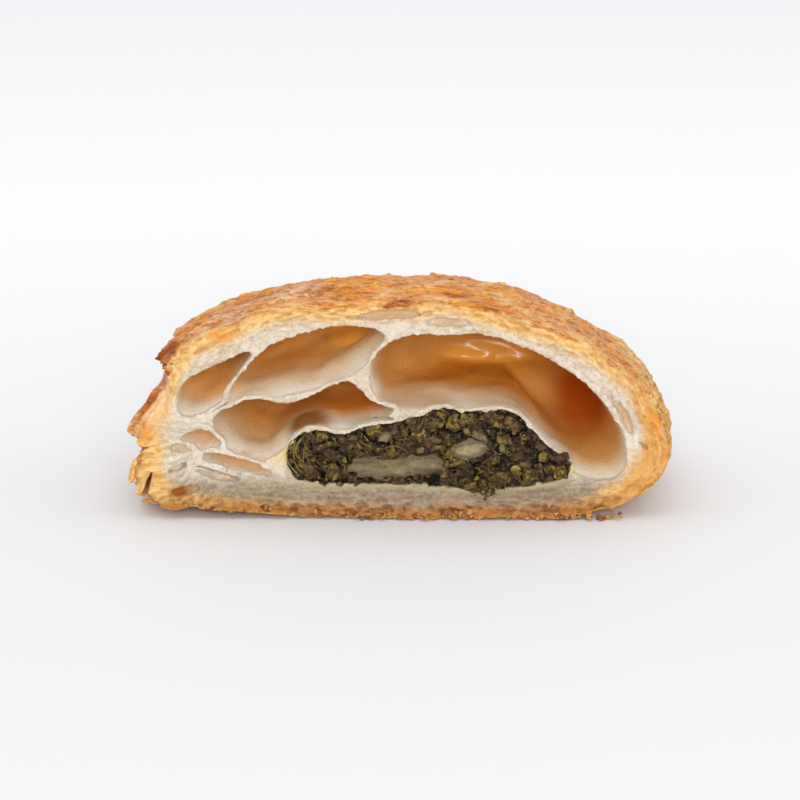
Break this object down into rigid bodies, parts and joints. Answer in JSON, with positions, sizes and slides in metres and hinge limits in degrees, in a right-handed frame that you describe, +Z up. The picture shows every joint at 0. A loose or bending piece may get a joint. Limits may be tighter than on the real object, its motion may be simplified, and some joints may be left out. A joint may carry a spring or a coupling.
{
  "type": "turnover pastry",
  "caption": "Half of a baked puff pastry turnover with a spinach and cheese filling, cut straight across, with open hollows between its layers.",
  "frame": {"origin": "bottom centre of the whole part's box", "axes": "+X from the open seam to the fold, along the cut face; +Y from the cut face to the sealed end; +Z up"},
  "size_m": [0.0916, 0.0628, 0.0384],
  "materials": {
    "pastry": "baked puff pastry, golden brown crust with a dull egg-wash sheen, pale cream layers where it is cut",
    "spinach": "moist cooked chopped spinach, dark green to olive brown",
    "cheese": "melted pale cheese, slightly see-through, wet sheen"
  },
  "bodies": {
    "root": {"pastry": "pastry", "spinach_filling": "spinach", "cheese_layer": "cheese", "cheese_lump": "cheese"}
  },
  "joints": []
}
